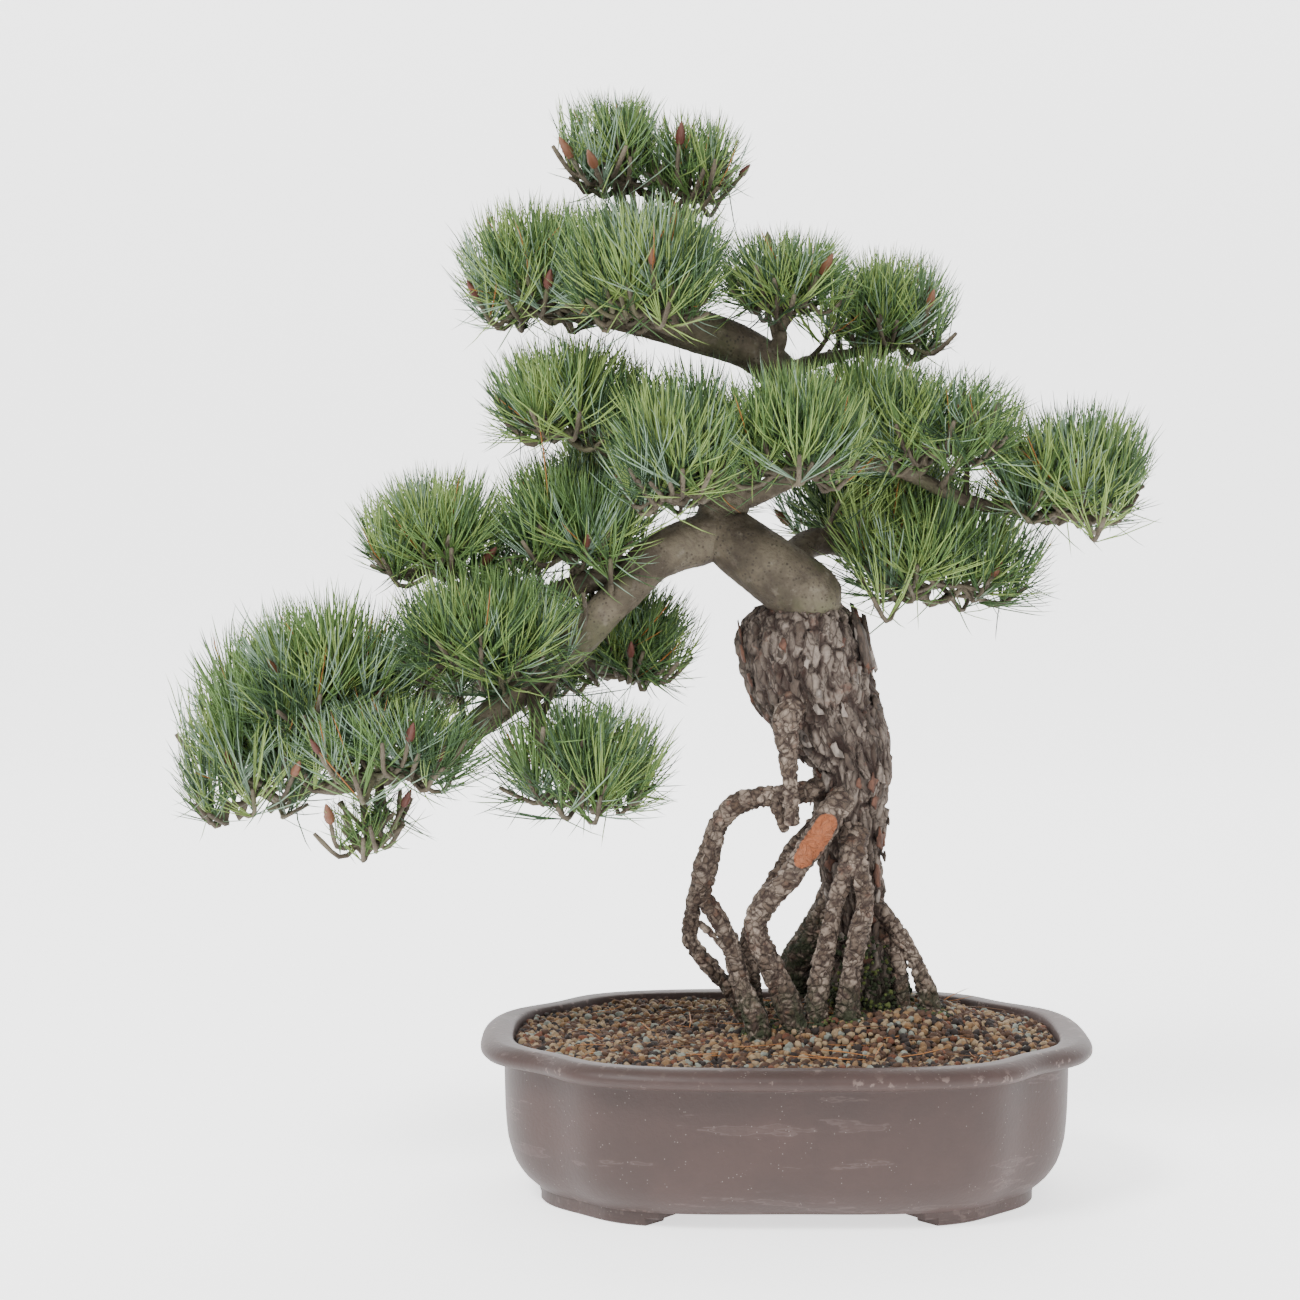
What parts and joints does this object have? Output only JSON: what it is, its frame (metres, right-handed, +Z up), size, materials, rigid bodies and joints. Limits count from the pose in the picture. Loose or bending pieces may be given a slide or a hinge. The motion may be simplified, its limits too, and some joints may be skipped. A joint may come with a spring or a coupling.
{
  "type": "exposed-root pine bonsai in a pot",
  "caption": "White pine bonsai with exposed looping roots, a leaning stock with a smooth grafted top, tufts of needles on its boughs, in a lobed oval clay pot of gritty soil",
  "frame": {"origin": "middle of the bounding box's underside, on the ground under the pot", "axes": "X along the pot's length, with the cascading left bough towards -X; -Y towards the viewer of the picture; Z up"},
  "size_m": [0.5694, 0.284, 0.6469],
  "materials": {
    "clay": "unglazed matte purplish brown, water-stained",
    "soil": "loose mixed grit",
    "bark": "flaking old bark",
    "root_bark": "scaly root bark",
    "smooth_bark": "smooth young bark",
    "needles": "needle foliage"
  },
  "bodies": {
    "root": {"pot": "clay", "soil": "soil", "trunk": "bark", "root_loop": "root_bark", "root_loop_outer": "root_bark", "root_loop_inner": "root_bark", "root_loop_link": "root_bark", "root_stub": "root_bark", "root_arch": "root_bark", "root_arch_back": "root_bark", "root_front_left": "root_bark", "root_front_right": "root_bark", "root_right": "root_bark", "root_right_inner": "root_bark", "root_mossy": "root_bark", "root_back": "root_bark", "bough_left": "smooth_bark", "bough_left_shelf": "smooth_bark", "bough_left_back": "smooth_bark", "bough_left_hanging": "smooth_bark", "bough_inner": "smooth_bark", "bough_right_low": "smooth_bark", "bough_right_long": "smooth_bark", "bough_mid_left": "smooth_bark", "bough_mid_front": "smooth_bark", "bough_mid_back": "smooth_bark", "bough_right_back": "smooth_bark", "bough_top_inner": "smooth_bark", "bough_top_outer": "smooth_bark", "bough_apex": "smooth_bark", "bough_crown_front": "smooth_bark", "bough_crown_back": "smooth_bark", "foliage_apex_left": "needles", "foliage_apex_right": "needles", "foliage_crown_left": "needles", "foliage_crown_front": "needles", "foliage_crown_back": "needles", "foliage_top_inner": "needles", "foliage_top_outer": "needles", "foliage_mid_left": "needles", "foliage_mid_front": "needles", "foliage_mid_center": "needles", "foliage_mid_right": "needles", "foliage_right": "needles", "foliage_far_right": "needles", "foliage_right_low": "needles", "foliage_mid_back": "needles", "foliage_right_back": "needles", "foliage_shelf_inner": "needles", "foliage_shelf_tip": "needles", "foliage_left_upper": "needles", "foliage_left_back": "needles", "foliage_left_far_upper": "needles", "foliage_left_far_back": "needles", "foliage_left_low": "needles", "foliage_left_tip": "needles", "foliage_inner_low": "needles", "foliage_hanging": "needles", "foliage_droop": "needles"}
  },
  "joints": []
}
